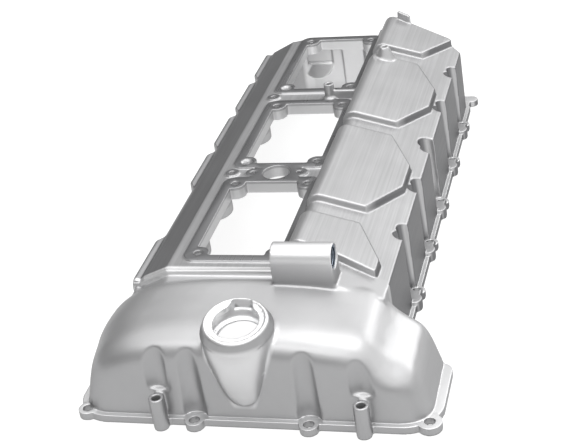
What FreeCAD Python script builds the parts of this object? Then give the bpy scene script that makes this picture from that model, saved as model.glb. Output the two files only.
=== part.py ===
"""Engine valve cover: a one-piece aluminium casting that closes one bank of an engine.

The front end bulges out over the timing drive and carries the oil filler neck. Behind it a flat
platform on the left has three bolted windows, and a sloping deck on the right carries four raised
pads. Bolt grooves run down both walls to the ears of the sealing flange. The cover is hollow and
open at its base. Units are millimetres, +X to the right, +Y away from the timing end, +Z up.
"""
import FreeCAD, Part
import math
import os

V = FreeCAD.Vector
UP = V(0, 0, 1)

# Main sizes. X and Y are measured from the front left stud hole of the first window, Z from the base
pitch = 112.0              # distance between cylinders
half_pitch = pitch / 2
window_count = 3
pad_count = 4
wall = 4.0                 # casting thickness
flange_thick = 4.5
floor_clear = 1.0          # how far cutting tools run past a face

# Body behind the timing end
body_left = -38.2          # outer face of the left wall
left_lean = 1.0            # how far the left wall leans out at its foot
body_right = 116.5         # foot of the right wall
right_lean = 1.5
body_rear = 317.0
platform_z = 58.0
platform_left = -15.5
platform_front = -15.7
platform_round = 3.0
ledge_z = 50.0
ledge_width = 4.5
ledge_round = 3.5
valley_drop = 4.6          # step down in front of the platform and its slope
valley_side = 1.0          # how far the left wall steps in there
valley_front = -30.0
passage_z = 41.0           # height of the opening from the timing end into the body
deck_edge_z = 49.0         # deck height at the right wall
deck_slope = 0.30
tower_left = 54.0          # left wall of the raised deck
tower_round = 8.0
tower_front = -24.0
foot_round = 1.2
inner_round = 2.0
tower_rear = 331.0          # rear end of the deck at its left wall
deck_corner = (106.0, 311.3)  # the rear edge of the deck slants to here
deck_corner_end = (115.5, 299.2)
slope_rear = 299.4         # rear end of the left slope

# Raised pads on the deck
pad_step = 4.8
pad_half = 47.0            # half length of a pad at its long left side
pad_side_half = 14.0       # half length of its short right side
pad_tip_x = 90.7
pad_right_x = 107.5
pad_corner = 1.5
pad_edge = 1.0
first_pad_middle = -14.5
first_pad_front = -6.0
first_pad_skew = 7.0

# Timing end
front_left = -56.2
front_right = 145.4
front_face = -81.8
front_lean = 2.5           # degrees the front wall leans back
dome_back = -23.0
shoulder_depth = 15.0      # rounding of the front wall into the sides and the top
shoulder_side = 17.0
shoulder_top = 13.0
back_depth = 7.0           # the same at the rear of the bulge
back_side = 3.0
back_top = 5.0
dome_fall = 5.0            # how much lower the top lies at the front shoulder
# Crest of the timing end seen from the front, as (x, z) from the left foot to the right foot
crest = [
    (-56.2, 0.0), (-54.0, 9.0), (-51.8, 19.0), (-49.2, 29.0), (-45.0, 38.5), (-38.0, 46.3),
    (-28.0, 52.2), (-17.0, 56.0), (-3.0, 58.5), (18.0, 60.0), (42.0, 60.3), (66.0, 59.8),
    (86.0, 58.2), (101.0, 55.8), (112.0, 51.2), (118.5, 44.0), (124.5, 38.3), (131.5, 34.0),
    (137.0, 26.5), (140.5, 17.0), (143.2, 8.0), (145.4, 0.0),
]
crest_fit = 0.3            # how closely the crest's curve keeps to its points
# The left shoulder swells out halfway along the bulge
swell = 3.3
swell_front = -66.0
swell_back = -25.0
swell_x = -46.0
swell_z = 38.0
swell_reach = 20.0

# Windows in the platform
window_hole_dx = 47.0
window_hole_dy = 83.0
window_margin = 2.0
window_boss = 6.5
rim_width = 6.4
rim_height = 1.5
rim_round = 8.0
plate_thick = 7.0
stud_hole = 2.6
stud_depth = 6.0
dish_radius = 4.2
dish_depth = 1.6

# Bridge fittings between the windows
bridge_bore = 8.95
bridge_hole_dx = 15.3
bridge_hole = 2.0
bridge_pad = 11.6
bridge_hole_pad = 5.2
ring_pad_x = -6.0
ring_pad_radius = 4.6
bridge_post_x = 36.0
bridge_post_height = 12.0
bridge_post_radius = 3.5
bridge_post_hole = 1.8
bridge_post_back = 3.1
bridge_offset = 97.5       # from the front stud holes of a window to the middle of the next bridge

# Bolts and ears of the flange
bolt_hole = 3.1
right_bolt_x = 117.1
right_bolt_y = 45.8
third_bolt_shift = -3.2
left_bolt_x = -43.0
left_bolt_y = 37.5
bolt_count = 5
ear_radius = 5.2
second_lobe_y = 11.8
groove_radius = 5.5
groove_lean = 3.4
groove_top_x = 114.8
groove_back = 1.8
third_groove_grow = 1.5    # the third groove on the right is wider and deeper
third_groove_in = 1.9
lobe_groove_radius = 4.2
lobe_groove_y = 9.0
left_groove_radius = 11.0
left_groove_x = -44.7
left_ear_radius = 6.0
lobe_groove_out = -2.1
ear_thick = 5.2
lobe_thick = 7.0
side_lip = 2.8             # flange beyond the side walls
front_lip = 1.8            # flange beyond the front face
wing_lip = 3.6             # flange beyond the right side of the timing end
left_wing_lip = 2.6        # the same on the left
corner_ear_radius = 6.8
left_corner_radius = 5.6
front_ear_radius = 5.4
front_ear_y = -84.9
front_ear_x = (13.7, 78.4)
corner_ear_y = -78.3
left_corner_ear_x = -51.7
right_corner_ear_x = 142.8
far_ear_x = 118.3
far_ear_y = 313.5
front_groove_radius = 7.6
front_groove_top = 56.0

flange_corner = 20.0
wing_end = -28.5           # rear edge of the wide part of the flange
wing_round = 7.0
wing_inner_round = 5.0
rear_ears = ((8.0, 319.0), (82.0, 324.5))

# Standoff posts in front of the timing end
post_x = (-5.4, 108.9)
post_y = -86.5
post_radius = 4.33
post_height = 20.3
post_hole = 2.5
post_hole_depth = 15.0
post_web = 4.6
post_recess = 8.6
post_recess_lean = 0.07
post_ledge_z = 22.0
post_web_drop = 0.8

# Oil filler neck
neck_x = 42.7
neck_y = -71.9
neck_z = 62.4
neck_tilt_x = 0.03
neck_tilt_y = -0.17
neck_radius = 18.2
neck_edge = 1.2
collar_radius = 20.2
collar_height = 5.8
collar_step = 0.4
neck_foot_z = 13.5
neck_drift = 0.5
# Each row: share of the way down, radius and Y of the centre
neck_rows = [(0.35, 16.8, -75.3), (0.7, 11.8, -76.6), (1.0, 6.0, -77.2)]
filler_depth = 40.0
filler_bore = 12.6
filler_step = 16.3
filler_step_depth = 0.9
filler_ring_depth = 4.9    # underside of the ring that holds the cap
filler_hollow = 15.4
filler_hollow_depth = 12.0
notch_outer = 5.0          # half width of the cap's notch at the groove
notch_inner = 7.6          # half width at the bore
notch_reach = 16.6

# Sensor tube across the top of the timing end
tube_left = 53.0
tube_right = 88.0
tube_y = -23.1
tube_z = 72.1
tube_radius = 8.0
tube_bore = 6.9
tube_depth = 26.0
insert_bore = 5.4
insert_length = 12.0
insert_sink = 1.0
tube_foot_z = 50.0

# Small fittings on the deck
nipple_x = 69.0
nipple_y = 254.0
nipple_base = 5.6
nipple_tip = 2.6
nipple_height = 8.5
nipple_hole = 1.3
tab_left = 66.0
tab_right = 76.5
tab_thick = 3.0
tab_height = 6.4
tab_round = 0.8

# Inside of the rear wall
rear_column_x = 31.0
rear_column_radius = 9.0
ramp_x = 1.0               # sloping half-round ramp below the last window
ramp_z = 38.5
ramp_radius = 12.0
ramp_reach = 3.4
channel_half = 12.6        # shallow channel in the rear wall above the ramp
channel_depth = 1.2


def rounded_face(points):
    """Face in the XY plane through (x, y, radius) corners, each rounded by a tangent arc."""
    edges = []
    starts, ends = [], []
    count = len(points)
    for i in range(count):
        x, y, radius = points[i]
        corner = V(x, y, 0)
        before = V(points[i - 1][0], points[i - 1][1], 0) - corner
        after = V(points[(i + 1) % count][0], points[(i + 1) % count][1], 0) - corner
        if radius <= 0:
            starts.append(corner)
            ends.append(corner)
            continue
        turn = before.getAngle(after)
        reach = radius / math.tan(turn / 2)
        before.normalize()
        after.normalize()
        starts.append(corner + before * reach)
        ends.append(corner + after * reach)
        middle = before + after
        middle.normalize()
        centre = corner + middle * (radius / math.sin(turn / 2))
        edges.append((i, Part.Arc(starts[i], centre - middle * radius, ends[i]).toShape()))
    arcs = dict(edges)
    path = []
    for i in range(count):
        if i in arcs:
            path.append(arcs[i])
        nxt = (i + 1) % count
        if ends[i].distanceToPoint(starts[nxt]) > 1e-6:
            path.append(Part.LineSegment(ends[i], starts[nxt]).toShape())
    return Part.Face(Part.Wire(path))


def prism(points, bottom, top):
    """Solid of the rounded outline between two heights."""
    face = rounded_face(points)
    face.translate(UP * bottom)
    return face.extrude(UP * (top - bottom))


def along_y(points, start, end):
    """Solid of an XZ outline with rounded corners, run along Y."""
    face = rounded_face(points)
    face.rotate(V(0, 0, 0), V(1, 0, 0), 90)
    face.translate(V(0, start, 0))
    return face.extrude(V(0, end - start, 0))


def cylinder(x, y, radius, bottom, top):
    return Part.makeCylinder(radius, top - bottom, V(x, y, bottom))


def box(x0, x1, y0, y1, z0, z1):
    return Part.makeBox(x1 - x0, y1 - y0, z1 - z0, V(x0, y0, z0))


def deck_z(x):
    """Height of the sloping deck."""
    return deck_edge_z + deck_slope * (body_right - right_lean - x)


def body_outline(raise_by=0.0):
    """Cross section of the long body as (x, z, radius). A raise lifts the deck."""
    edge_x = body_right - right_lean
    return [
        (body_left - left_lean, 0, 0),
        (body_left, ledge_z, ledge_round),
        (body_left + ledge_width, ledge_z + 0.2, 0),
        (platform_left, platform_z, platform_round),
        (tower_left, platform_z, foot_round),
        (tower_left, deck_z(tower_left) + raise_by, tower_round),
        (edge_x, deck_z(edge_x) + raise_by, foot_round),
        (body_right, 0, 0),
    ]


def step_outline():
    """Cross section of the lower step between the platform and the timing end."""
    points = body_outline()
    left = [(x + valley_side, z - valley_drop if z > 0 else z, radius) for x, z, radius in points[:3]]
    low = platform_z - valley_drop
    return left + [(platform_left + valley_side, low, platform_round), (tower_left, low, foot_round)] + points[5:]


def inner_outline():
    """Cross section of the hollow inside the body."""
    ceiling = platform_z - plate_thick
    side = tower_left + wall
    edge_x = body_right - right_lean - wall
    return [
        (body_left - left_lean + wall, -floor_clear, 0),
        (body_left + wall, ledge_z - wall - 1, inner_round),
        (platform_left + wall / 2, ceiling, inner_round),
        (side, ceiling, inner_round),
        (side, deck_z(side) - wall, tower_round - wall),
        (edge_x, deck_z(edge_x) - wall, inner_round),
        (body_right - wall, -floor_clear, 0),
    ]


def crest_curve():
    """Smooth curve through the crest points."""
    curve = Part.BSplineCurve()
    curve.approximate(Points=[V(x, 0, z) for x, z in crest], DegMax=5, Tolerance=crest_fit)
    return curve


def swollen(point, y):
    """A point of the crest moved out where the left shoulder swells."""
    along = (y - swell_front) / (swell_back - swell_front)
    if along <= 0 or along >= 1:
        return point
    far = math.hypot(point.x - swell_x, point.z - swell_z) / swell_reach
    push = swell * math.sin(math.pi * along) * math.exp(-far * far)
    return point + V(-0.875, 0, 0.484) * push


def crest_section(y, side_in, top_in, inset):
    """Closed wire of the timing end in the plane at one Y."""
    left = crest[0][0]
    right = crest[-1][0]
    highest = max(point[1] for point in crest)
    side = side_in + inset
    across = (right - left - 2 * side) / (right - left)
    up = (highest - top_in - inset) / highest
    low = V(0, 0, -6)
    if inset:
        chords = crest[::2] + [crest[-1]]
        path = [swollen(V(left + side + (x - left) * across, y, z * up), y) for x, z in chords]
        return Part.makePolygon(path + [path[-1] + low, path[0] + low, path[0]])
    curve = crest_curve()
    poles = [swollen(V(left + side + (p.x - left) * across, y, p.z * up), y)
             for p in curve.getPoles()]
    curve.buildFromPolesMultsKnots(poles, curve.getMultiplicities(), curve.getKnots(), False,
                                   curve.Degree)
    first, last = poles[0], poles[-1]
    return Part.Wire([
        curve.toShape(),
        Part.LineSegment(last, last + low).toShape(),
        Part.LineSegment(last + low, first + low).toShape(),
        Part.LineSegment(first + low, first).toShape(),
    ])


def timing_dome(inset):
    """Bulge over the timing drive, lofted through sections from front to rear.

    The outside is smooth. An inset gives the plainer hollow inside, made of straight strips.
    """
    sections = []
    front = front_face + inset
    back = dome_back - inset
    crown = back - back_depth
    shoulder = front + shoulder_depth
    for degrees in (90, 60, 30):
        turn = math.radians(degrees)
        y = front + shoulder_depth * (1 - math.sin(turn))
        grow = 1 - math.cos(turn)
        fall = dome_fall * (crown - y) / (crown - shoulder)
        sections.append(crest_section(y, shoulder_side * grow, shoulder_top * grow + fall, inset))
    for step in range(4):
        y = shoulder + (crown - shoulder) * step / 3
        fall = dome_fall * (crown - y) / (crown - shoulder)
        sections.append(crest_section(y, 0, fall, inset))
    for degrees in (45, 90):
        turn = math.radians(degrees)
        y = back - back_depth * (1 - math.sin(turn))
        grow = 1 - math.cos(turn)
        sections.append(crest_section(y, back_side * grow, back_top * grow, inset))
    solid = Part.makeLoft(sections, True, inset > 0)
    solid.rotate(V(0, front_face, 0), V(1, 0, 0), -front_lean)
    return solid.cut(box(-200, 300, -200, 400, -40, -floor_clear if inset else 0))


def plan_outline(offset, radius):
    """Outline of the cover at its base, grown by an offset."""
    front = front_face - offset
    left = front_left - offset
    right = front_right + offset
    side_left = body_left - left_lean - offset
    side_right = body_right + offset
    wing_back = wing_end + offset
    rear = tower_rear + 20
    inner = max(wing_inner_round - offset, 1.0)
    return [
        (left, front, radius),
        (right, front, radius),
        (right, wing_back, wing_round + offset),
        (side_right, wing_back, inner),
        (side_right, rear, 0),
        (side_left, rear, 0),
        (side_left, wing_back, inner),
        (left, wing_back, wing_round + offset),
    ]


def leaning_cylinder(top_x, foot_x, y, radius, bottom, top):
    """Cylinder whose axis leans in X between two heights."""
    axis = V(top_x - foot_x, 0, top - bottom)
    start = V(foot_x, y, bottom) - axis * 0.1
    return Part.makeCylinder(radius, axis.Length * 1.6, start, axis)


def right_bolts():
    """Places of the bolts along the right wall."""
    spots = []
    for k in range(bolt_count):
        shift = third_bolt_shift if k == 2 else 0
        spots.append((right_bolt_x, right_bolt_y + half_pitch * k + shift))
    return spots


def left_bolts():
    return [(left_bolt_x, left_bolt_y + half_pitch * k) for k in range(bolt_count)]


def front_bolts():
    spots = [(x, front_ear_y) for x in front_ear_x]
    spots.append((left_corner_ear_x, corner_ear_y))
    spots.append((right_corner_ear_x, corner_ear_y))
    return spots


def joined(first, others):
    """One solid made of the first shape and all the others."""
    return first.multiFuse(others).removeSplitter()


def side_grooves(extra):
    """Bolt grooves down both walls. Extra widens them for the inside of the casting."""
    tools = []
    for k, (x, y) in enumerate(right_bolts()):
        mid = y - groove_back
        grow, shift = (third_groove_grow, third_groove_in) if k == 2 else (0, 0)
        top_x = groove_top_x - shift
        tools.append(leaning_cylinder(top_x, top_x + groove_lean, mid,
                                      groove_radius + grow + extra, 0, deck_edge_z))
        tools.append(leaning_cylinder(groove_top_x + lobe_groove_out,
                                      groove_top_x + lobe_groove_out + groove_lean,
                                      y - lobe_groove_y, lobe_groove_radius + extra,
                                      0, deck_edge_z))
    for x, y in left_bolts():
        tools.append(cylinder(left_groove_x, y, left_groove_radius + extra, -20, ledge_z + 20))
    gap_start = left_bolt_y
    gap_end = left_bolt_y + half_pitch
    tools.append(box(left_groove_x - left_groove_radius, left_groove_x + left_groove_radius + extra,
                     gap_start, gap_end, -20, ledge_z + 20))
    return tools


def front_grooves(extra):
    """Grooves in the front wall above the front ears."""
    return [cylinder(x, front_ear_y, front_groove_radius + extra, -20, front_groove_top)
            for x in front_ear_x]


def post_recesses(extra):
    """Hollows in the front wall above the standoff posts."""
    tools = []
    for x in post_x:
        start = V(x, post_y, post_ledge_z - extra)
        tools.append(Part.makeCylinder(post_recess + extra, front_groove_top - start.z, start,
                                       V(0, post_recess_lean, 1)))
    return tools


def rear_cut(inset):
    """Everything behind the rear end of the cover, which steps round the platform and the deck."""
    side = body_right + 30
    far = tower_rear + 60
    step_x = tower_left - wall + inset
    points = [
        (body_left - 30, slope_rear - inset, 0),
        (platform_left + 2.5, body_rear - 4.8 - inset, 6),
        (platform_left + 12, body_rear - inset, 0),
        (step_x, body_rear - inset, 2),
        (step_x, tower_rear + 1 - inset, 3),
        (deck_corner[0], deck_corner[1] - inset, 4),
        (deck_corner_end[0] + 1, deck_corner_end[1] - inset, 0),
        (side, deck_corner_end[1] - 12 - inset, 0),
        (side, far, 0),
        (body_left - 30, far, 0),
    ]
    return rounded_face(points).extrude(UP * 120).translated(UP * -20)


def outer_body():
    """Outside of the walls, the platform and the deck, with their bolt grooves."""
    body = along_y(body_outline(), platform_front, tower_rear + 5)
    valley = along_y(step_outline(), valley_front, platform_front + 1)
    dome = timing_dome(0)
    solid = joined(body, [valley, dome])
    tools = side_grooves(0) + front_grooves(0) + post_recesses(0)
    tools.append(rear_cut(0))
    return solid.cut(tools)


def cavity():
    """Hollow inside of the casting, kept one wall away from every groove."""
    body = along_y(inner_outline(), valley_front + wall, tower_rear)
    low = box(body_left - 20, tower_left + wall, valley_front - 10, platform_front + wall,
              passage_z, 90)
    passage = box(body_left + wall + 1, body_right - wall - 1, valley_front - 15, platform_front,
                  -floor_clear, passage_z)
    space = body.cut(low).fuse(passage).fuse(timing_dome(wall))
    bulges = side_grooves(wall) + front_grooves(wall) + post_recesses(wall)
    bulges.append(rear_cut(wall))
    bulges.append(cylinder(rear_column_x, body_rear - wall, rear_column_radius, -20, 80))
    inner_face = body_rear - wall
    ramp = Part.makeCylinder(ramp_radius, ramp_reach, V(ramp_x, inner_face - ramp_reach, ramp_z),
                             V(0, 1, 0))
    wedge = Part.Face(Part.makePolygon([
        V(ramp_x - ramp_radius, inner_face, ramp_z),
        V(ramp_x - ramp_radius, inner_face - ramp_reach, ramp_z - ramp_radius),
        V(ramp_x - ramp_radius, inner_face + 1, ramp_z - ramp_radius - 1),
        V(ramp_x - ramp_radius, inner_face + 1, ramp_z),
        V(ramp_x - ramp_radius, inner_face, ramp_z),
    ])).extrude(V(2 * ramp_radius, 0, 0))
    bulges.append(ramp.common(wedge))
    return space, bulges


def rear_channel():
    """Shallow channel in the rear wall, from the ramp up to the ceiling."""
    inner_face = body_rear - wall
    return box(ramp_x - channel_half, ramp_x + channel_half, inner_face - 1,
               inner_face + channel_depth, ramp_z, platform_z - plate_thick)


def flange():
    """Sealing flange with all its bolt ears."""
    solid = prism(plan_outline(side_lip, flange_corner), 0, flange_thick)
    wing = rounded_face([
        (front_left - left_wing_lip, front_face - front_lip, flange_corner),
        (front_right + wing_lip, front_face - front_lip, flange_corner),
        (front_right + wing_lip, wing_end + 2, wing_round),
        (front_left - left_wing_lip, wing_end + 2, wing_round),
    ]).extrude(UP * flange_thick)
    ears = [wing]
    for x, y in right_bolts():
        ears.append(cylinder(x, y, ear_radius, 0, ear_thick))
        ears.append(cylinder(x, y - second_lobe_y, ear_radius, 0, lobe_thick))
        ears.append(box(x - 6, x + 3.4, y - second_lobe_y, y, 0, lobe_thick))
    for x, y in left_bolts():
        ears.append(cylinder(x, y, left_ear_radius, 0, ear_thick))
    for x, y in front_bolts():
        radius = front_ear_radius
        if x == left_corner_ear_x:
            radius = left_corner_radius
        if x == right_corner_ear_x:
            radius = corner_ear_radius
        ears.append(cylinder(x, y, radius, 0, ear_thick))
    for x in front_ear_x:
        ears.append(box(x - front_ear_radius + 1, x + front_ear_radius - 1, front_ear_y,
                        front_face + 3, 0, ear_thick))
    ears.append(cylinder(far_ear_x, far_ear_y, ear_radius, 0, flange_thick))
    ears.append(box(far_ear_x - 25, far_ear_x, far_ear_y - 25, far_ear_y + ear_radius,
                    0, flange_thick))
    for x, y in rear_ears:
        ears.append(cylinder(x, y, front_ear_radius, 0, ear_thick))
    return joined(solid.cut(rear_cut(-side_lip)), ears)


def posts():
    """Standoff posts that stand off the front wall on short webs."""
    shapes = []
    for x in post_x:
        shapes.append(cylinder(x, post_y, post_radius, 0, post_height))
        shapes.append(box(x - post_web / 2, x + post_web / 2, post_y, front_face + 3, 0,
                          post_height - post_web_drop))
    return shapes


def pads():
    """Four raised pads on the deck, each bevelled round its top."""
    raised = along_y(body_outline(pad_step), valley_front, tower_rear + 5).cut(rear_cut(0))
    shapes = []
    for k in range(pad_count):
        middle = first_pad_middle + pitch * k
        left = tower_left - 8
        points = [
            (left, middle - pad_half, 0),
            (pad_tip_x, middle - pad_half, pad_corner),
            (pad_right_x, middle - pad_side_half, pad_corner),
            (pad_right_x, middle + pad_side_half, pad_corner),
            (pad_tip_x, middle + pad_half, pad_corner),
            (left, middle + pad_half, 0),
        ]
        if k == 0:
            points[0] = (left, first_pad_front + first_pad_skew, 0)
            points[1] = (pad_tip_x - 5, first_pad_front, 3 * pad_corner)
            points[2] = (pad_right_x, first_pad_front - first_pad_skew, pad_corner)
        if k == pad_count - 1:
            points[3] = (pad_right_x, middle + pitch, 0)
            points[4:] = [(left, middle + pitch, 0)]
        slab = along_y([
            (tower_left - 30, deck_edge_z - 10, 0),
            (tower_left - 30, deck_z(tower_left - 30) + pad_step, 0),
            (body_right + 10, deck_z(body_right + 10) + pad_step, 0),
            (body_right + 10, deck_edge_z - 10, 0),
        ], middle - pitch, middle + 2 * pitch)
        pad = slab.common(prism(points, deck_edge_z - 5, platform_z + 40))
        rims = [edge for edge in pad.Edges
                if abs(edge.CenterOfMass.z - deck_z(edge.CenterOfMass.x) - pad_step) < 0.05]
        pad = pad.Solids[0].makeFillet(pad_edge, rims).common(raised)
        shapes.append(pad)
    return shapes


def window_origin(k):
    return pitch * k


def window_corners(k):
    base = window_origin(k)
    return [(x, base + y) for x in (0, window_hole_dx) for y in (0, window_hole_dy)]


def window_rims():
    """Raised sealing rims round the windows with the bridge pads between them."""
    shapes = []
    low = platform_z - 1
    high = platform_z + rim_height
    reach = window_margin + rim_width
    for k in range(window_count):
        base = window_origin(k)
        shapes.append(prism([
            (-reach, base - reach, rim_round),
            (window_hole_dx + reach, base - reach, rim_round),
            (window_hole_dx + reach, base + window_hole_dy + reach, rim_round),
            (-reach, base + window_hole_dy + reach, rim_round),
        ], low, high))
    middle_x = window_hole_dx / 2
    for k in range(window_count - 1):
        middle_y = window_origin(k) + bridge_offset
        shapes.append(cylinder(ring_pad_x, middle_y, ring_pad_radius, low, high))
        if k == 0:
            shapes.append(cylinder(middle_x, middle_y, bridge_pad, low, high))
            for side in (-1, 1):
                shapes.append(cylinder(middle_x + side * bridge_hole_dx, middle_y, bridge_hole_pad,
                                       low, high))
            shapes.append(box(middle_x - bridge_hole_dx, middle_x + bridge_hole_dx,
                              middle_y - bridge_hole_pad, middle_y + bridge_hole_pad, low, high))
    post_y1 = window_origin(1) + bridge_offset - bridge_post_back
    shapes.append(cylinder(bridge_post_x, post_y1, bridge_post_radius,
                           low, platform_z + bridge_post_height))
    shapes.append(Part.makeCone(bridge_post_radius + 3, bridge_post_radius, 3.5,
                                V(bridge_post_x, post_y1, platform_z)))
    shapes.append(box(bridge_post_x, tower_left + 1, post_y1 - 1.5, post_y1 + 1.5, low,
                      platform_z + bridge_post_height - 5))
    return shapes


def window_openings():
    """Windows through the platform, with a boss left standing at each corner."""
    shapes = []
    for k in range(window_count):
        base = window_origin(k)
        m = window_margin
        tool = box(-m, window_hole_dx + m, base - m, base + window_hole_dy + m,
                   platform_z - 40, platform_z + 20)
        bosses = [cylinder(x, y, window_boss, platform_z - 50, platform_z + 30)
                  for x, y in window_corners(k)]
        shapes.append(tool.cut(bosses))
    return shapes


def neck_axis():
    axis = V(neck_tilt_x, neck_tilt_y, 1)
    axis.normalize()
    return axis


def ring_wire(centre, axis, radius):
    return Part.Wire([Part.Circle(centre, axis, radius).toShape()])


def filler_neck():
    """Tilted neck with a collar, tapering down the front wall."""
    axis = neck_axis()
    top = V(neck_x, neck_y, neck_z)
    under = top - axis * collar_height
    collar = Part.makeCone(collar_radius, neck_radius, collar_height - neck_edge, under, axis)
    bevel = Part.makeCone(neck_radius, neck_radius - neck_edge, neck_edge, top - axis * neck_edge, axis)
    lip = Part.makeCylinder(collar_radius, 1.0, under - axis * 1.0, axis)
    rings = [ring_wire(under - axis * 1.0, axis, collar_radius - collar_step)]
    for share, radius, y in neck_rows:
        centre = V(neck_x + neck_drift * share, y, (under.z - neck_foot_z) * (1 - share) + neck_foot_z)
        tilt = V(axis.x * (1 - share), axis.y * (1 - share), 1)
        rings.append(ring_wire(centre, tilt, radius))
    cone = Part.makeLoft(rings, True, False)
    return [collar, bevel, lip, cone]


def filler_openings():
    axis = neck_axis()
    top = V(neck_x, neck_y, neck_z)
    bore = Part.makeCylinder(filler_bore, filler_depth, top + axis * 5 - axis * filler_depth, axis)
    step = Part.makeCylinder(filler_step, filler_step_depth + 5, top - axis * filler_step_depth, axis)
    hollow = Part.makeCylinder(filler_hollow, filler_hollow_depth - filler_ring_depth,
                               top - axis * filler_hollow_depth, axis)
    across = V(0, 1, 0).cross(axis)
    across.normalize()
    back = axis.cross(across)
    notch_near = filler_bore - 3
    corners = [(-notch_outer, notch_reach), (notch_outer, notch_reach),
               (notch_inner, notch_near), (-notch_inner, notch_near)]
    path = [top + axis * 3 + across * x + back * y for x, y in corners]
    path.append(path[0])
    notch = Part.Face(Part.makePolygon(path)).extrude(axis * -(filler_ring_depth + 5))
    return [bore, step, hollow, notch]


def sensor_tube():
    """Level tube with a skirt that runs down to the casting."""
    middle = V(tube_left, tube_y, tube_z)
    tube = Part.makeCylinder(tube_radius, tube_right - tube_left, middle, V(1, 0, 0))
    skirt = box(tube_left, tube_right, tube_y - tube_radius, tube_y + tube_radius,
                tube_foot_z, tube_z)
    return [tube, skirt]


def fittings():
    """Nipple and tab on the last pad."""
    foot = deck_z(nipple_x) + pad_step - 1
    nipple = Part.makeCone(nipple_base, nipple_tip, nipple_height + 1, V(nipple_x, nipple_y, foot))
    middle = (tab_left + tab_right) / 2
    half = (tab_right - tab_left) / 2
    along = V(deck_corner[0] - tower_left, deck_corner[1] - tower_rear, 0)
    rear_y = tower_rear + along.y / along.x * (middle - tower_left)
    raised = pad_step + tab_height
    tab = along_y([
        (-half, deck_edge_z, 0),
        (-half, deck_z(tab_left) + raised, tab_round),
        (half, deck_z(tab_right) + raised, tab_round),
        (half, deck_edge_z, 0),
    ], -tab_thick, 0)
    tab.rotate(V(0, 0, 0), UP, math.degrees(math.atan2(along.y, along.x)))
    tab.translate(V(middle, rear_y - 0.3, 0))
    return [nipple, tab]


def small_holes():
    """Bolt holes, stud holes, post holes and the bores of the fittings."""
    tools = []
    for x, y in right_bolts() + left_bolts() + front_bolts() + list(rear_ears):
        tools.append(cylinder(x, y, bolt_hole, -1, 30))
    rim_z = platform_z + rim_height
    for k in range(window_count):
        for index, (x, y) in enumerate(window_corners(k)):
            tools.append(cylinder(x, y, stud_hole, rim_z - stud_depth, rim_z + 5))
            if index == 0 and k > 0:
                tools.append(Part.makeCone(dish_radius - 1.4, dish_radius, dish_depth,
                                           V(x, y, rim_z - dish_depth)))
    middle_x = window_hole_dx / 2
    for k in range(window_count - 1):
        middle_y = window_origin(k) + bridge_offset
        tools.append(cylinder(ring_pad_x, middle_y, bridge_hole, rim_z - 4, rim_z + 5))
        if k == 0:
            tools.append(cylinder(middle_x, middle_y, bridge_bore, platform_z - 30, rim_z + 5))
            for side in (-1, 1):
                tools.append(cylinder(middle_x + side * bridge_hole_dx, middle_y, bridge_hole,
                                      rim_z - stud_depth, rim_z + 5))
    post_y1 = window_origin(1) + bridge_offset - bridge_post_back
    tools.append(cylinder(bridge_post_x, post_y1, bridge_post_hole,
                          platform_z + 2, platform_z + bridge_post_height + 1))
    for x in post_x:
        tools.append(cylinder(x, post_y, post_hole, post_height - post_hole_depth, post_height + 1))
    foot = deck_z(nipple_x) + pad_step
    tools.append(cylinder(nipple_x, nipple_y, nipple_hole, foot, foot + nipple_height + 1))
    tools.append(Part.makeCylinder(tube_bore, tube_depth + 1,
                                   V(tube_right - tube_depth, tube_y, tube_z), V(1, 0, 0)))
    return tools


def cover_casting():
    """The whole casting as one solid."""
    outside = outer_body()
    adds = [flange()] + posts() + pads() + window_rims() + filler_neck() + sensor_tube() + fittings()
    solid = joined(outside, adds)
    space, bulges = cavity()
    solid = solid.cut(space.cut(bulges))
    solid = solid.cut(rear_channel())
    solid = solid.cut(window_openings())
    solid = solid.cut(filler_openings())
    solid = solid.cut(small_holes())
    return solid.removeSplitter()


def thread_insert():
    """Steel bush pressed into the end of the sensor tube."""
    start = V(tube_right - insert_sink - insert_length, tube_y, tube_z)
    bush = Part.makeCylinder(tube_bore, insert_length, start, V(1, 0, 0))
    return bush.cut(Part.makeCylinder(insert_bore, insert_length + 2, start - V(1, 0, 0), V(1, 0, 0)))


def centre_shift(solid):
    """Move that puts the middle of the base of the whole cover at the origin."""
    points = solid.tessellate(0.1)[0]
    xs = [point.x for point in points]
    ys = [point.y for point in points]
    zs = [point.z for point in points]
    return V(-(min(xs) + max(xs)) / 2, -(min(ys) + max(ys)) / 2, -min(zs))


if __name__ == "__main__":
    os.makedirs("parts", exist_ok=True)
    casting = cover_casting()
    shift = centre_shift(casting)
    print("shift", shift)
    for name, solid in (("cover_casting", casting), ("thread_insert", thread_insert())):
        placed = solid.translated(shift)
        print(name, placed.isValid(), len(placed.Solids), round(placed.Volume), placed.BoundBox)
        placed.exportStep("parts/" + name + ".step")
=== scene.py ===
# %% [markdown]
# # Engine valve cover
# The cover is one aluminium casting with a steel bush in the end of its tube. The imported model
# gives the true shape in metres. This lesson keeps that shape, rounds its edges as a casting's
# are rounded, gives each kind of surface its own finish and paints some light and shade into
# the colours.

# %% Load the imported model
import math

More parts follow.
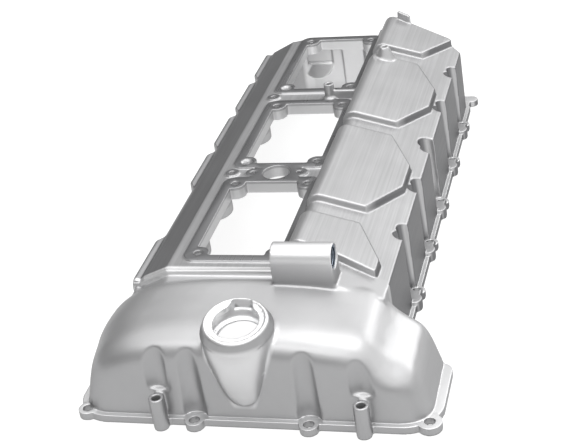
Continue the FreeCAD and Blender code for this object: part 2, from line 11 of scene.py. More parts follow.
import bpy
import numpy as np
from mathutils import Euler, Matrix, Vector


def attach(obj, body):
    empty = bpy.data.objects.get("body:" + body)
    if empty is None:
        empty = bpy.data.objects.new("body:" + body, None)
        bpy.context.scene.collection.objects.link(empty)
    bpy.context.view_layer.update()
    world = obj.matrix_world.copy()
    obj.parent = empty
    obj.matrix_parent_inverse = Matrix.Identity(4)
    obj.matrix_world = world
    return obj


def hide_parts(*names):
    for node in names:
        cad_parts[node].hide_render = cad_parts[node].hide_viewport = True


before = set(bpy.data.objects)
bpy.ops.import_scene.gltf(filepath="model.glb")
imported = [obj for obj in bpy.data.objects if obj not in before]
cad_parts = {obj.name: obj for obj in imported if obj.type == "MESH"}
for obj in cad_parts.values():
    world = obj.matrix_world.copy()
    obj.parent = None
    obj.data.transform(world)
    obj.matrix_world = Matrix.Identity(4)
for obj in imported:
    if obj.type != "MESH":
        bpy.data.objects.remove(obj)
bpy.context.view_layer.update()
print("nodes:", sorted(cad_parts))

# %% [markdown]
# ## Camera
# The photograph looks down on the timing end from the front right. The lens and the place come
# from measuring the photograph, so every piece lands where it lies there.

# %% Camera
CAMERA_PLACE = Vector((0.216177, -0.755580, 0.456865))
CAMERA_TURN = [math.radians(a) for a in (60.1401, 7.7576, 13.3145)]
COVER_MIDDLE = Vector((0, 0, 0.04))

camera_data = bpy.data.cameras.new("camera")
camera_data.lens = 84.32
camera_data.sensor_width = 36.0
camera_data.sensor_fit = "HORIZONTAL"
camera_data.clip_start = 0.01
camera_data.clip_end = 20.0
camera = bpy.data.objects.new("camera", camera_data)
camera.location = CAMERA_PLACE
camera.rotation_euler = Euler(CAMERA_TURN, "XYZ")
bpy.context.scene.collection.objects.link(camera)
bpy.context.scene.camera = camera
print("camera stands", round((CAMERA_PLACE - COVER_MIDDLE).length, 3), "m from the cover")

# %% [markdown]
# ## Sky
# Bare metal shows what stands around it, so the shading of this casting is mostly the shading of
# the room. An evenly white room makes it look flat. Here the sky is bright overhead and to the
# right and dark low on the left, as a studio with one big soft source is. It could be painted as
# an image, but a smooth ramp over the angle to one direction is enough.

# %% Sky
SKY_TOWARDS = (0.30, 0.0, 0.95)
SKY_DIM = 0.12
SKY_BRIGHT = 1.35
DIM_UP_TO = 0.26
BRIGHT_FROM = 0.58

world = bpy.data.worlds.new("studio")
bpy.context.scene.world = world
world.use_nodes = True
wn = world.node_tree.nodes
wl = world.node_tree.links
wn.clear()
world_out = wn.new("ShaderNodeOutputWorld")
sky = wn.new("ShaderNodeBackground")
sky.inputs["Color"].default_value = (1, 1, 1, 1)
sky_way = wn.new("ShaderNodeTexCoord")
facing = wn.new("ShaderNodeVectorMath")
facing.operation = "DOT_PRODUCT"
facing.inputs[1].default_value = Vector(SKY_TOWARDS).normalized()
sky_ramp = wn.new("ShaderNodeMapRange")
sky_ramp.interpolation_type = "SMOOTHSTEP"
sky_ramp.inputs["From Min"].default_value = DIM_UP_TO
sky_ramp.inputs["From Max"].default_value = BRIGHT_FROM
sky_ramp.inputs["To Min"].default_value = SKY_DIM
sky_ramp.inputs["To Max"].default_value = SKY_BRIGHT
wl.new(sky_way.outputs["Generated"], facing.inputs[0])
wl.new(facing.outputs["Value"], sky_ramp.inputs["Value"])
wl.new(sky_ramp.outputs["Result"], sky.inputs["Strength"])
wl.new(sky.outputs[0], world_out.inputs["Surface"])
bpy.context.scene.view_settings.view_transform = "Standard"
print("the sky goes from", SKY_DIM, "to", SKY_BRIGHT)

# %% [markdown]
# ## Floor
# The photograph has a plain white ground. The floor has a matt grey part, which takes the shadow
# of the cover, and a glow that only the camera, mirrors and glass see. So it looks white, but
# sends little light up into the hollow casting.

# %% Floor
FLOOR_SIZE = 6.0
FLOOR_GAP = 0.0006
FLOOR_GREY = 0.25
FLOOR_GLOW = 0.86

half = FLOOR_SIZE / 2
floor_mesh = bpy.data.meshes.new("floor")
floor_corners = [(-half, -half, 0), (half, -half, 0), (half, half, 0), (-half, half, 0)]
floor_mesh.from_pydata(floor_corners, [], [(0, 1, 2, 3)])
floor = bpy.data.objects.new("floor", floor_mesh)
floor.location = (0, 0, -FLOOR_GAP)
bpy.context.scene.collection.objects.link(floor)
print("floor of", FLOOR_SIZE, "m lies just under the cover")

# %% Floor material
floor_mat = bpy.data.materials.new("pale_floor")
floor_mat.use_nodes = True
fn = floor_mat.node_tree.nodes
fl = floor_mat.node_tree.links
fn.clear()
floor_out = fn.new("ShaderNodeOutputMaterial")
matt = fn.new("ShaderNodeBsdfDiffuse")
matt.inputs["Color"].default_value = (FLOOR_GREY, FLOOR_GREY, FLOOR_GREY, 1)
glow = fn.new("ShaderNodeEmission")
rays = fn.new("ShaderNodeLightPath")
seen = fn.new("ShaderNodeMath")
seen.operation = "MAXIMUM"
seen_more = fn.new("ShaderNodeMath")
seen_more.operation = "MAXIMUM"
glow_strength = fn.new("ShaderNodeMath")
glow_strength.operation = "MULTIPLY"
glow_strength.inputs[1].default_value = FLOOR_GLOW
both = fn.new("ShaderNodeAddShader")
fl.new(rays.outputs["Is Camera Ray"], seen.inputs[0])
fl.new(rays.outputs["Is Glossy Ray"], seen.inputs[1])
fl.new(seen.outputs[0], seen_more.inputs[0])
fl.new(rays.outputs["Is Transmission Ray"], seen_more.inputs[1])
fl.new(seen_more.outputs[0], glow_strength.inputs[0])
fl.new(glow_strength.outputs[0], glow.inputs["Strength"])
fl.new(matt.outputs[0], both.inputs[0])
fl.new(glow.outputs[0], both.inputs[1])
fl.new(both.outputs[0], floor_out.inputs["Surface"])
floor_mesh.materials.append(floor_mat)
print("floor material with", len(fn), "nodes")

# %% [markdown]
# ## Lamps
# Wide area lamps give soft shadows and broad highlights. One hangs overhead, one stands low
# behind on the right and draws light edges, and two are in front, high on the left and low.

# %% Lamps


def soft_lamp(name, place, aim, size, power):
    """A rectangular area lamp that looks at a point."""
    lamp = bpy.data.lights.new(name, "AREA")
    lamp.shape = "RECTANGLE"
    lamp.size, lamp.size_y = size
    lamp.energy = power
    holder = bpy.data.objects.new(name, lamp)
    holder.location = place
    look = Vector(aim) - Vector(place)
    holder.rotation_euler = look.to_track_quat("-Z", "Y").to_euler()
    bpy.context.scene.collection.objects.link(holder)


soft_lamp("key_lamp", (0.30, -0.05, 1.60), (0.0, 0.0, 0.03), (1.4, 1.4), 12.0)
soft_lamp("edge_lamp", (0.90, 1.15, 0.68), (0.05, -0.12, 0.04), (0.9, 0.6), 4.5)
soft_lamp("shoulder_lamp", (-0.35, -1.10, 1.15), (0.0, -0.16, 0.04), (1.2, 0.5), 3.0)
soft_lamp("front_lamp", (0.1, -1.5, 0.42), (0.0, -0.2, 0.03), (2.2, 0.8), 2.1)
print("lamps:", len(bpy.data.lights))

# %% [markdown]
# ## The casting with rounded edges
# A sand casting has no sharp edges, but its machined faces meet in crisp ones. Bevels fail where
# many small edges meet, as they do here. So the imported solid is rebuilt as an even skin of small
# faces, and every point is drawn a little towards its neighbours: far on the domed timing end,
# less on the deck and hardly at all on the machined rims.

# %% Even skin
SKIN_CELL = 0.00055
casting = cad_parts["cover_casting"]
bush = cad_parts["thread_insert"]


def with_modifiers(source, name, *steps):
    """A new object whose mesh is the source's mesh after the modifiers in steps."""
    helper = bpy.data.objects.new(name + "_helper", source.data.copy())
    bpy.context.scene.collection.objects.link(helper)
    for kind, settings in steps:
        step = helper.modifiers.new(kind, kind)
        for key, value in settings.items():
            setattr(step, key, value)
    graph = bpy.context.evaluated_depsgraph_get()
    mesh = bpy.data.meshes.new_from_object(helper.evaluated_get(graph))
    bpy.data.objects.remove(helper)
    made = bpy.data.objects.new(name, mesh)
    bpy.context.scene.collection.objects.link(made)
    return made


skin = with_modifiers(casting, "cover_skin", (
    "REMESH", {"mode": "VOXEL", "voxel_size": SKIN_CELL, "adaptivity": 0.0}))
print("even skin:", len(skin.data.vertices), "points")

# %% Measure the skin
count = len(skin.data.vertices)
place = np.empty(count * 3)
skin.data.vertices.foreach_get("co", place)
place = place.reshape(-1, 3)
facing_way = np.empty(count * 3)
skin.data.vertices.foreach_get("normal", facing_way)
facing_way = facing_way.reshape(-1, 3)
pairs = np.empty(len(skin.data.edges) * 2, dtype=np.int64)
skin.data.edges.foreach_get("vertices", pairs)
pairs = pairs.reshape(-1, 2)
print("edges:", len(pairs))

# %% Draw points in


def drawn_in(points, share, rounds):
    """Points moved towards the middle of their neighbours, by a share of the way each round."""
    near = np.nonzero(share > 0)[0]
    used = pairs[(share[pairs[:, 0]] > 0) | (share[pairs[:, 1]] > 0)]
    neighbours = np.maximum(np.bincount(used.ravel(), minlength=count), 1)
    points = points.copy()
    for _ in range(rounds):
        for axis in range(3):
            total = np.bincount(used[:, 0], points[used[:, 1], axis], count)
            total += np.bincount(used[:, 1], points[used[:, 0], axis], count)
            middle = total[near] / neighbours[near]
            points[near, axis] += share[near] * (middle - points[near, axis])
    return points


print("points are drawn towards their neighbours")

# %% Parts of the skin
RIM_RIGHT = 0.012
RIM_FRONT = -0.1325
RIM_Z = 0.0595
PLATFORM_Z = 0.058
DECK_LEFT = 0.0085
DECK_LOW = 0.0475
TIMING_REAR = -0.140
TIMING_TOP = 0.0605
FLANGE_TOP = 0.0075
POSTS_REAR = -0.2040
POSTS_TOP = 0.0225
BASE_TOP = 0.0003
x, y, z = place.T
on_base = z < BASE_TOP
on_flange = z < FLANGE_TOP
on_posts = (y < POSTS_REAR) & (z < POSTS_TOP)
on_rims = (x < RIM_RIGHT) & (z > PLATFORM_Z - 0.0004) & (y > RIM_FRONT)
on_deck_skin = (x > DECK_LEFT) & (y > TIMING_REAR + 0.009) & (z > DECK_LOW)
print("rim points:", int(on_rims.sum()), "deck points:", int(on_deck_skin.sum()))

# %% Parts round the filler neck
NECK_TOP = np.array((-0.0026, -0.19261, 0.0624))
NECK_AXIS = np.array((0.03, -0.17, 1.0)) / np.linalg.norm((0.03, -0.17, 1.0))
COLLAR_RADIUS = 0.0215
COLLAR_HEIGHT = 0.0075
STEP_ZONE = (-0.1395, -0.1325)
STEP_LOW = 0.0515
STEP_END = 0.004
SPOUT_HALF = 0.024
SPOUT_REAR = -0.189
SPOUT_HEIGHTS = (0.009, 0.050)
from_neck = place - NECK_TOP
up_neck = from_neck @ NECK_AXIS
off_neck = np.linalg.norm(from_neck - up_neck[:, None] * NECK_AXIS, axis=1)
on_collar = (off_neck < COLLAR_RADIUS) & (up_neck > -COLLAR_HEIGHT)
on_timing_end = (y < TIMING_REAR) & ~on_collar & ~on_flange & ~on_posts & (z < TIMING_TOP)
on_step = (y > STEP_ZONE[0]) & (y < STEP_ZONE[1]) & (x < STEP_END) & (z > STEP_LOW)
on_spout = on_timing_end & (np.abs(x - NECK_TOP[0]) < SPOUT_HALF) & (y < SPOUT_REAR)
on_spout &= (z > SPOUT_HEIGHTS[0]) & (z < SPOUT_HEIGHTS[1])
print("timing end points:", int(on_timing_end.sum()), "neck points:", int(on_spout.sum()))

# %% Round the edges
HALFWAY = 0.5
share = np.full(count, HALFWAY)
for part, crisp in ((on_flange | on_posts, 0.15), (on_rims, 0.16), (on_collar, 0.12), (on_base, 0.0)):
    share[part] = crisp
soft = drawn_in(place, share, 4)
for part, quick_rounds, rounds in (
        (on_deck_skin, 1, 6), (on_timing_end | on_step, 3, 14), (on_spout, 4, 24)):
    soft = drawn_in(soft, np.where(part, HALFWAY, 0.0), rounds)
on_rim_top = on_rims & (np.abs(z - RIM_Z) < 0.0003) & (facing_way[:, 2] > 0.95)
soft[on_rim_top, 2] = RIM_Z
soft[on_base, 2] = 0.0
print("points moved up to", round(float(np.abs(soft - place).max()) * 1000, 2), "mm")

# %% [markdown]
# ## Small shapes worked into the skin
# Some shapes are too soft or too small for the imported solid. The screw ears are level with the
# flange. The platform ends in front in a rounded edge. Each bay of the left flank has a narrow
# level ledge with a hollow behind it. The filler neck ends round, and the little nipple on the
# third pad stands on a wide cone. Separate pieces would show a seam on a casting, so points of
# the skin are moved instead, by amounts that fade out smoothly.

# %% Flat ears on the flange
PACKED_HEIGHTS = (0.0, 0.0045, 0.0054, 0.0065, 0.1)
SKIN_HEIGHTS = (0.0, 0.0045, 0.0047, 0.0065, 0.1)
soft[:, 2] = np.interp(soft[:, 2], PACKED_HEIGHTS, SKIN_HEIGHTS)
print("ears lowered to the height of the flange")

# %% A rounded front edge of the platform


def ramp(value, start, end):
    """A smooth rise from 0 at start to 1 at end."""
    t = np.clip((value - start) / (end - start), 0.0, 1.0)
    return t * t * (3 - 2 * t)


STEP_FRONT = -0.13641
STEP_ROUND = 0.0038
STEP_RIGHT = 0.0035
SLOPE_START = -0.0608
SLOPE_RISE = 0.43
VALLEY_Z = 0.045
round_middle = STEP_FRONT + STEP_ROUND
top_here = PLATFORM_Z - SLOPE_RISE * np.maximum(SLOPE_START - soft[:, 0], 0.0)
back = soft[:, 1] - round_middle
above = soft[:, 2] - (top_here - STEP_ROUND)
in_corner = (back < 0) & (above > 0) & (soft[:, 0] < STEP_RIGHT) & (soft[:, 2] > VALLEY_Z)
in_corner &= back > -STEP_ROUND * 1.05
reach = np.maximum(-back, above)
length = np.maximum(np.hypot(back, above), 1e-9)
soft[:, 1] = np.where(in_corner, round_middle + back * reach / length, soft[:, 1])
soft[:, 2] = np.where(in_corner, top_here - STEP_ROUND + above * reach / length, soft[:, 2])
print("points rounded along the step:", int(in_corner.sum()))

# %% Ledges of the left bays
LEDGE_Z = 0.0493
SLOPE_FOOT = (-0.0836, 0.04835)
HOLLOW = (-0.0797, -0.0757)
FLANK_TOP = (0.0435, 0.0475)
sx, sz = soft[:, 0], soft[:, 2]
slope_here = SLOPE_FOOT[1] + SLOPE_RISE * (sx - SLOPE_FOOT[0])
ledge_here = LEDGE_Z + (slope_here - LEDGE_Z) * ramp(sx, *HOLLOW)
on_flank = ramp(sz, *FLANK_TOP) * (sx < HOLLOW[1]) * (soft[:, 1] > TIMING_REAR)
soft[:, 2] += on_flank * (ledge_here - slope_here)
print("ledge points:", int((on_flank > 0).sum()))

# %% A rounder lower end for the filler neck
NECK_FOOT = (0.010, 0.018)
NECK_WAIST = (0.026, 0.044)
NECK_HALF = 0.005
NECK_REACH = 0.016
NECK_WIDER = 0.0018
NECK_REAR = -0.185
from_middle = soft[:, 0] - NECK_TOP[0]
aside = np.abs(from_middle)
push = ramp(aside, 0.0, NECK_HALF) * (1 - ramp(aside, NECK_HALF, NECK_REACH))
push *= ramp(soft[:, 2], *NECK_FOOT) * (1 - ramp(soft[:, 2], *NECK_WAIST)) * (soft[:, 1] < NECK_REAR)
soft[:, 0] += NECK_WIDER * np.sign(from_middle) * push
print("neck points:", int((push > 0.01).sum()))

# %% A wider foot for the nipple
NIPPLE = (0.0237, 0.13329)
NIPPLE_NARROW = 0.0056
NIPPLE_REACH = 0.0125
NIPPLE_GROW = 0.0015
NIPPLE_SHIFT = -0.0012
DECK_FALL = -0.305
dx = soft[:, 0] - NIPPLE[0]
dy = soft[:, 1] - NIPPLE[1]
off = np.maximum(np.hypot(dx, dy), 1e-6)
fade = (1 - ramp(off, NIPPLE_NARROW, NIPPLE_REACH)) * (soft[:, 2] > VALLEY_Z)
grow = NIPPLE_GROW * np.minimum(off / NIPPLE_NARROW, 1.0) * fade / off
move_x = grow * dx + NIPPLE_SHIFT * fade
soft[:, 0] += move_x
soft[:, 1] += grow * dy
soft[:, 2] += DECK_FALL * move_x
skin.data.vertices.foreach_set("co", soft.ravel())
skin.data.update()
print("nipple points:", int((fade > 0).sum()))

# %% [markdown]
# ## A lighter skin
# The even skin has as many faces on a flat wall as on a fillet. Faces that add nothing are
# merged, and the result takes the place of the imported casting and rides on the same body.

# %% Merge faces that add nothing
MOST_TRIANGLES = 190000
triangles = sum(len(face.vertices) - 2 for face in skin.data.polygons)
keep_share = min(1.0, MOST_TRIANGLES / triangles)
full_skin = skin
skin = with_modifiers(full_skin, "cover_cast_skin", (
    "DECIMATE", {"decimate_type": "COLLAPSE", "ratio": keep_share, "use_collapse_triangulate": True}))
bpy.data.objects.remove(full_skin)
skin.data.shade_smooth()
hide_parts("cover_casting")
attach(skin, "root")
print("skin:", len(skin.data.polygons), "triangles")

# %% [markdown]
# ## Finishes
# The real cover has several finishes: a satin skin as cast, a deck and pads brushed along their
# length, darker milled rims round the windows and a bright turned filler ring. They could be
# separate materials on groups of faces, but the skin's faces don't follow the joints. So one
# material finds each finish by the height and the facing of the surface, and with masks of the
# same kind it paints light and shade into the colour of some parts.

# %% Helpers for materials


def maths(tree, operation, first, second=0.0):
    """One Math node; each input may be a number or another node's output."""
    step = tree.nodes.new("ShaderNodeMath")
    step.operation = operation
    for socket, value in zip(step.inputs, (first, second)):
        if isinstance(value, (int, float)):
            socket.default_value = value
        else:
            tree.links.new(value, socket)
    return step.outputs[0]


def rise(tree, value, start, end, low=0.0, high=1.0):
    """A value that goes from low to high while the input goes from start to end."""
    step = tree.nodes.new("ShaderNodeMapRange")
    for name, number in (("From Min", start), ("From Max", end), ("To Min", low), ("To Max", high)):
        step.inputs[name].default_value = number
    tree.links.new(value, step.inputs["Value"])
    return step.outputs["Result"]


def below(tree, value, start, end):
    """1 under start, 0 over end."""
    return rise(tree, value, start, end, 1.0, 0.0)


def band(tree, value, low, high, soft_edge):
    """1 between low and high, 0 outside."""
    start = rise(tree, value, low, low + soft_edge)
    end = below(tree, value, high - soft_edge, high)
    return maths(tree, "MULTIPLY", start, end)


def all_of(tree, *masks):
    """The product of several masks."""
    result = masks[0]
    for mask in masks[1:]:
        result = maths(tree, "MULTIPLY", result, mask)
    return result


def tone(tree, under, over, mask):
    """A colour over another where the mask is 1."""
    mix = tree.nodes.new("ShaderNodeMix")
    mix.data_type = "RGBA"
    tree.links.new(mask, mix.inputs["Factor"])
    for socket, value in ((mix.inputs[6], under), (mix.inputs[7], over)):
        if isinstance(value, tuple):
            socket.default_value = (*value, 1)
        else:
            tree.links.new(value, socket)
    return mix.outputs[2]


print("helpers for masks and tones")

# %% [markdown]
# ### Grain
# Cast and rolled metal alike have a grain finer than a millimetre. It is made once, as a group
# that gives a tone and a height, and each material sets its own size.

# %% Grain group
grain = bpy.data.node_groups.new("metal_grain", "ShaderNodeTree")
grain.interface.new_socket("Place", in_out="INPUT", socket_type="NodeSocketVector")
grain.interface.new_socket("Grains per metre", in_out="INPUT", socket_type="NodeSocketFloat")
grain.interface.new_socket("Tone", in_out="OUTPUT", socket_type="NodeSocketFloat")
grain.interface.new_socket("Height", in_out="OUTPUT", socket_type="NodeSocketFloat")
grain_in = grain.nodes.new("NodeGroupInput")
grain_out = grain.nodes.new("NodeGroupOutput")
patches = grain.nodes.new("ShaderNodeTexNoise")
patches.inputs["Scale"].default_value = 45.0
patches.inputs["Detail"].default_value = 3.0
specks = grain.nodes.new("ShaderNodeTexNoise")
specks.inputs["Detail"].default_value = 2.0
grain.links.new(grain_in.outputs["Place"], patches.inputs["Vector"])
grain.links.new(grain_in.outputs["Place"], specks.inputs["Vector"])
grain.links.new(grain_in.outputs["Grains per metre"], specks.inputs["Scale"])
grain.links.new(patches.outputs["Fac"], grain_out.inputs["Tone"])
grain.links.new(specks.outputs["Fac"], grain_out.inputs["Height"])
print("grain group with", len(grain.nodes), "nodes")

# %% Metal with the numbers every finish shares


def new_metal(name, metallic, grains):
    """A material with a Principled shader, its place and facing, and the grain."""
    mat = bpy.data.materials.new(name)
    mat.use_nodes = True
    tree = mat.node_tree
    shader = tree.nodes["Principled BSDF"]
    shader.inputs["Metallic"].default_value = metallic
    shader.inputs["Specular IOR Level"].default_value = 0.25
    shader.inputs["Specular Tint"].default_value = (0.5, 0.5, 0.5, 1)
    where = tree.nodes.new("ShaderNodeTexCoord")
    fine = tree.nodes.new("ShaderNodeGroup")
    fine.node_tree = grain
    fine.inputs["Grains per metre"].default_value = grains
    tree.links.new(where.outputs["Object"], fine.inputs["Place"])
    bump = tree.nodes.new("ShaderNodeBump")
    bump.inputs["Strength"].default_value = 0.12
    bump.inputs["Distance"].default_value = 0.0001
    tree.links.new(fine.outputs["Height"], bump.inputs["Height"])
    tree.links.new(bump.outputs["Normal"], shader.inputs["Normal"])
    return mat, shader, where, fine


cast_metal, cast_shader, cast_where, cast_grain = new_metal("cast_aluminium", 0.7, 900.0)
bush_metal, bush_shader, bush_where, bush_grain = new_metal("bush_steel", 0.9, 1500.0)
print("two metals:", cast_metal.name, "and", bush_metal.name)

# %% [markdown]
# ### Where each finish and each painted tone lies
# A mask is 1 where a finish or a painted light or shade lies and 0 elsewhere. Each is a product of
# simple ones: a range of heights, a side of the cover, a way of facing. Narrow ramps keep the edges
# from looking jagged.

# %% Place and facing
tree = cast_metal.node_tree
spot = tree.nodes.new("ShaderNodeSeparateXYZ")
tree.links.new(cast_where.outputs["Object"], spot.inputs[0])
px, py, pz = spot.outputs
way = tree.nodes.new("ShaderNodeSeparateXYZ")
tree.links.new(cast_where.outputs["Normal"], way.inputs[0])
nx, ny, nz = way.outputs
level = rise(tree, nz, 0.90, 0.95)
nearly_level = rise(tree, nz, 0.70, 0.80)
left_half = below(tree, px, DECK_LEFT, DECK_LEFT + 0.001)
behind_step = rise(tree, py, -0.1365, -0.1360)
print("place and facing of the surface")

# %% Masks of the platform and the left flank
FLANK_LOW = (0.0455, 0.0465)
on_rim = all_of(tree, band(tree, pz, 0.0585, 0.0602, 0.0002), nearly_level, left_half, behind_step)
on_platform = all_of(tree, band(tree, pz, 0.0572, 0.0585, 0.0003), level, left_half, behind_step)
on_left = all_of(tree, rise(tree, nx, -0.18, -0.32), rise(tree, pz, *FLANK_LOW), behind_step,
                 below(tree, px, -0.060, -0.058), rise(tree, nz, 0.5, 0.7))
on_left_edge = all_of(tree, below(tree, px, -0.0600, -0.0590), rise(tree, pz, *FLANK_LOW),
                      behind_step)
inside = all_of(tree, band(tree, px, -0.0560, 0.0095, 0.003), rise(tree, pz, 0.012, 0.025),
                below(tree, pz, 0.0574, 0.0578), rise(tree, py, -0.134, -0.130))
rear_inside = all_of(tree, inside, rise(tree, py, 0.150, 0.170))
on_step_face = all_of(tree, rise(tree, ny, -0.15, -0.35), rise(tree, nz, 0.2, 0.4),
                      band(tree, py, -0.1375, -0.1300, 0.0003), below(tree, px, 0.0060, 0.0070),
                      rise(tree, pz, 0.0465, 0.0475))
print("masks: rims, platform, left flank, window walls, step")

# %% Masks of the deck, the right flank and the flange
on_flange_metal = all_of(tree, below(tree, pz, 0.0056, 0.0064), rise(tree, nz, 0.2, 0.6, 0.6, 1.0))
on_right = all_of(tree, rise(tree, nx, 0.45, 0.75), rise(tree, px, 0.045, 0.050), behind_step)
on_deck = all_of(tree, level, rise(tree, px, DECK_LEFT, DECK_LEFT + 0.001),
                 rise(tree, pz, 0.046, 0.048), rise(tree, py, -0.134, -0.132))
print("masks: flange, right flank, deck")

# %% Masks of the timing end
from_neck_x = maths(tree, "SUBTRACT", px, float(NECK_TOP[0]))
from_neck_y = maths(tree, "SUBTRACT", py, float(NECK_TOP[1]))
neck_off = maths(tree, "SQRT", maths(tree, "ADD", maths(tree, "MULTIPLY", from_neck_x, from_neck_x),
                                     maths(tree, "MULTIPLY", from_neck_y, from_neck_y)))
neck_half = maths(tree, "MULTIPLY_ADD", maths(tree, "SUBTRACT", pz, 0.012), -0.38)
tree.links.new(maths(tree, "ABSOLUTE", from_neck_x), neck_half.node.inputs[2])
on_neck = all_of(tree, below(tree, neck_half, 0.0055, 0.0075), rise(tree, pz, 0.010, 0.013),
                 below(tree, pz, 0.0530, 0.0550), below(tree, neck_off, 0.0225, 0.0235))
faces_out = maths(tree, "MAXIMUM", below(tree, ny, -0.10, 0.10), rise(tree, nx, 0.25, 0.55))
on_wall = all_of(tree, below(tree, nz, 0.35, 0.60), below(tree, py, -0.142, -0.140), faces_out)
on_tube = all_of(tree, rise(tree, pz, 0.060, 0.072), below(tree, py, -0.1365, -0.1355))
on_filler = all_of(tree, below(tree, neck_off, 0.0174, 0.0178), rise(tree, pz, 0.034, 0.036))
print("masks: neck, walls, tube, filler ring")

# %% [markdown]
# ### Brushed lines
# Brushing leaves long faint lines. They are a noise stretched along the cover, laid over the
# deck, the platform and the left flank.

# %% Brushed lines
ALONG_COVER = 0.012
BRUSH_TONE = 0.24
stretch = tree.nodes.new("ShaderNodeVectorMath")
stretch.operation = "MULTIPLY"
stretch.inputs[1].default_value = (1.0, ALONG_COVER, 1.0)
tree.links.new(cast_where.outputs["Object"], stretch.inputs[0])
lines = tree.nodes.new("ShaderNodeTexNoise")
lines.inputs["Scale"].default_value = 800.0
lines.inputs["Detail"].default_value = 3.0
lines.inputs["Roughness"].default_value = 0.65
tree.links.new(stretch.outputs[0], lines.inputs["Vector"])
brushed = maths(tree, "MAXIMUM", maths(tree, "MAXIMUM", on_deck, on_platform), on_left)
line_tone = rise(tree, lines.outputs["Fac"], 0.25, 0.75, -0.5, 0.5)
line_shade = maths(tree, "MULTIPLY_ADD", maths(tree, "MULTIPLY", line_tone, brushed), BRUSH_TONE)
line_shade.node.inputs[2].default_value = 1.0
print("brushed lines change the tone by up to", BRUSH_TONE / 2)

# %% [markdown]
# ### Colour and roughness
# Every finish is the same aluminium, lighter where the filler ring is turned and darker where it
# is milled. Several other tones are painted light and shade: painted light on the window walls,
# the step edge, the flange, the neck, the tube and the bore of the filler, painted shade on both
# flanks and on the outer walls of the timing end. The colours are laid over each other in order,
# so the last one wins, and the grain makes all of them a little patchy.

# %% Colours of the finishes and of painted light and shade
DECK = (0.47, 0.47, 0.475)
PLATFORM = (0.37, 0.37, 0.375)
LEFT_LEDGE = (0.34, 0.34, 0.345)
# Painted shade: the left flank, which slopes away from the light, is darker.
LEFT_FLANK_PAINTED_SHADE = (0.24, 0.24, 0.245)
# Painted light: the walls inside the windows are lighter, the rear one most, as if more light reached
# them.
WINDOW_WALL_PAINTED_LIGHT = (0.66, 0.66, 0.665)
REAR_WINDOW_WALL_PAINTED_LIGHT = (0.86, 0.86, 0.865)
# Painted highlight: the rounded front edge of the platform, facing front and up, is lighter.
STEP_PAINTED_HIGHLIGHT = (0.62, 0.62, 0.625)
# Painted light: the flange and its ears are lighter, most on the top faces.
FLANGE_PAINTED_LIGHT = (0.66, 0.66, 0.665)
# Painted shade: the faces of the right flank are darker.
RIGHT_FLANK_PAINTED_SHADE = (0.18, 0.18, 0.185)
# Painted shade: the walls of the timing end that face front or right are darker.
OUTER_WALL_PAINTED_SHADE = (0.38, 0.38, 0.385)
# Painted light: the filler neck is lighter, a painted reflection of the pale floor below it.
NECK_PAINTED_LIGHT = (0.62, 0.62, 0.625)
# Painted highlight: the tube along the top of the timing end is lighter.
TUBE_PAINTED_HIGHLIGHT = (0.66, 0.66, 0.665)
MILLED = (0.21, 0.21, 0.215)
# The filler ring is turned and lighter; the same tone on the walls of its bore is painted light.
TURNED_RING_AND_PAINTED_BORE_LIGHT = (0.86, 0.86, 0.865)
colour = (0.48, 0.48, 0.485)
for finish, mask in (
        (DECK, on_deck), (PLATFORM, on_platform), (LEFT_LEDGE, on_left_edge), (LEFT_FLANK_PAINTED_SHADE, on_left),
        (WINDOW_WALL_PAINTED_LIGHT, inside), (REAR_WINDOW_WALL_PAINTED_LIGHT, rear_inside), (STEP_PAINTED_HIGHLIGHT, on_step_face),
        (FLANGE_PAINTED_LIGHT, on_flange_metal), (RIGHT_FLANK_PAINTED_SHADE, on_right), (OUTER_WALL_PAINTED_SHADE, on_wall), (NECK_PAINTED_LIGHT, on_neck),
        (TUBE_PAINTED_HIGHLIGHT, on_tube), (MILLED, on_rim), (TURNED_RING_AND_PAINTED_BORE_LIGHT, on_filler)):
    colour = tone(tree, colour, finish, mask)
print("colours laid over the cast skin")

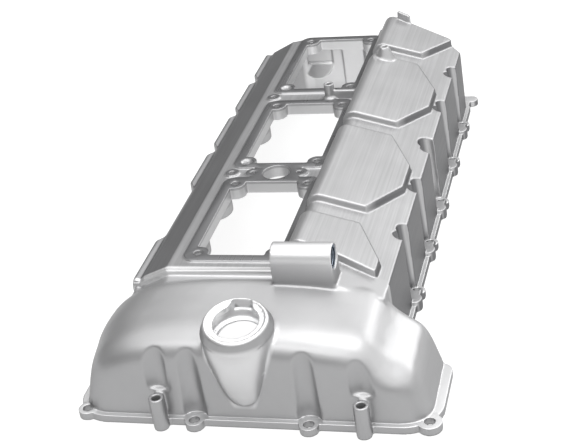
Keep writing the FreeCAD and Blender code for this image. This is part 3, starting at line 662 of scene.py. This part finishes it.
# %% Shade and roughness
shaded = tree.nodes.new("ShaderNodeVectorMath")
shaded.operation = "SCALE"
tree.links.new(colour, shaded.inputs[0])
patchy = rise(tree, cast_grain.outputs["Tone"], 0.3, 0.7, 0.97, 1.03)
tree.links.new(maths(tree, "MULTIPLY", line_shade, patchy), shaded.inputs["Scale"])
tree.links.new(shaded.outputs[0], cast_shader.inputs["Base Color"])
rough = maths(tree, "ADD", rise(tree, cast_grain.outputs["Tone"], 0.3, 0.7, 0.36, 0.40),
              maths(tree, "MULTIPLY", line_tone, 0.06))
smooth_spots = maths(tree, "MULTIPLY", maths(tree, "MAXIMUM", on_rim, on_filler), 0.08)
tree.links.new(maths(tree, "SUBTRACT", rough, smooth_spots), cast_shader.inputs["Roughness"])
print("cast material has", len(tree.nodes), "nodes")

# %% [markdown]
# ### The bush
# A threaded steel bush sits in the open end of the tube. Its turns are finer than a pixel of the
# photograph, so they are bands along the bore, raised by a bump, dark and slightly blue. Each
# band is painted lighter on its crest and darker in its groove: painted light and painted shade.

# %% Bush steel
# The bands are painted shade in the grooves of the thread and painted light on its crests.
DARK_STEEL_AND_PAINTED_GROOVE_SHADE = (0.05, 0.06, 0.08)
STEEL_WITH_PAINTED_CREST_LIGHT = (0.36, 0.41, 0.48)
bush_tree = bush_metal.node_tree
turns = bush_tree.nodes.new("ShaderNodeTexWave")
turns.bands_direction = "X"
turns.inputs["Scale"].default_value = 260.0
turns.inputs["Distortion"].default_value = 0.6
bush_tree.links.new(bush_where.outputs["Object"], turns.inputs["Vector"])
bush_colour = tone(bush_tree, DARK_STEEL_AND_PAINTED_GROOVE_SHADE, STEEL_WITH_PAINTED_CREST_LIGHT, turns.outputs["Fac"])
bush_tree.links.new(bush_colour, bush_shader.inputs["Base Color"])
bush_rough = rise(bush_tree, bush_grain.outputs["Tone"], 0.3, 0.7, 0.28, 0.36)
bush_tree.links.new(bush_rough, bush_shader.inputs["Roughness"])
bush_bump = bush_shader.inputs["Normal"].links[0].from_node
bush_bump.inputs["Strength"].default_value = 0.8
bush_bump.inputs["Distance"].default_value = 0.0004
grain_height = maths(bush_tree, "MULTIPLY", bush_grain.outputs["Height"], 0.1)
turn_height = maths(bush_tree, "ADD", turns.outputs["Fac"], grain_height)
bush_tree.links.new(turn_height, bush_bump.inputs["Height"])
print("bush material has", len(bush_tree.nodes), "nodes")

# %% [markdown]
# ## Finish the scene
# Each piece gets its metal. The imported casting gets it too, though its skin is what is seen, so
# that both carry the same finish.

# %% Put the materials on
for piece, mat in ((casting, cast_metal), (skin, cast_metal), (bush, bush_metal)):
    piece.data.materials.clear()
    piece.data.materials.append(mat)
    piece.data.polygons.foreach_set("material_index", [0] * len(piece.data.polygons))
print("materials are on the casting, its skin and the bush")
